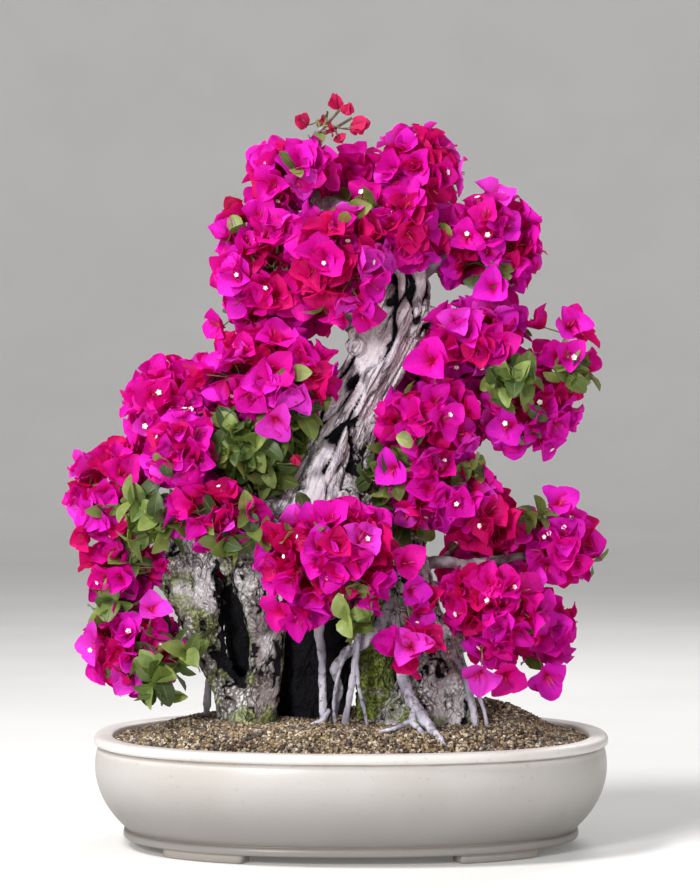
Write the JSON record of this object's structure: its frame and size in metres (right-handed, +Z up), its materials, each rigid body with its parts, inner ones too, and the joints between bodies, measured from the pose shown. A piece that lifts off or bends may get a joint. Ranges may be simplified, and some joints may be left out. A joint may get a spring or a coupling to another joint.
{
  "type": "bougainvillea bonsai",
  "caption": "Flowering bougainvillea bonsai with an old furrowed trunk on bared roots, dense magenta bract clusters and an oval footed pot.",
  "frame": {"origin": "on the ground, below the middle of the whole plant's width and depth", "axes": "+Z up, -Y the plant's front, +X the viewer's right"},
  "size_m": [0.6504, 0.452, 0.8839],
  "materials": {
    "pot": "satin cream stoneware",
    "gravel": "loose tan and brown grit",
    "bark": "weathered silver-grey bark",
    "roots": "smooth pale grey root",
    "bracts": "papery magenta bract",
    "leaves": "satin green leaf"
  },
  "bodies": {
    "root": {"apex_bracts": "bracts", "back_crown_bracts": "bracts", "back_left_bracts": "bracts", "back_low_left_bracts": "bracts", "back_low_right_bough": "bark", "back_low_right_bracts": "bracts", "back_middle_bracts": "bracts", "back_right_bracts": "bracts", "back_upper_bracts": "bracts", "far_left_bough": "bark", "far_left_bracts": "bracts", "inner_crown_bracts": "bracts", "left_front_bracts": "bracts", "left_hang_bracts": "bracts", "left_inner_leaves": "leaves", "left_shoulder_bough": "bark", "left_shoulder_bracts": "bracts", "left_under_bracts": "bracts", "low_flower_bracts": "bracts", "low_left_bracts": "bracts", "low_right_bracts": "bracts", "low_right_inner_bracts": "bracts", "low_right_outer_bough": "bark", "low_right_outer_bracts": "bracts", "low_right_tip_bough": "bark", "low_right_tip_bracts": "bracts", "middle_front_bracts": "bracts", "middle_left_bough": "bark", "middle_left_bracts": "bracts", "pot": "pot", "right_crown_bough": "bark", "right_crown_bracts": "bracts", "right_lower_bracts": "bracts", "right_middle_bracts": "bracts", "right_outer_bough": "bark", "right_outer_bracts": "bracts", "right_tip_bough": "bark", "right_tip_bracts": "bracts", "right_upper_bough": "bark", "right_upper_bracts": "bracts", "root_front_left": "roots", "root_front_middle": "roots", "root_hook": "roots", "root_left_back": "roots", "root_right_fork": "roots", "root_right_front": "roots", "root_right_side": "roots", "root_thin": "roots", "soil": "gravel", "top_left_bracts": "bracts", "top_middle_bracts": "bracts", "top_right_bough": "bark", "top_right_bracts": "bracts", "trunk": "bark", "upper_left_bough": "bark", "upper_left_bracts": "bracts", "upper_middle_bracts": "bracts"}
  },
  "joints": []
}
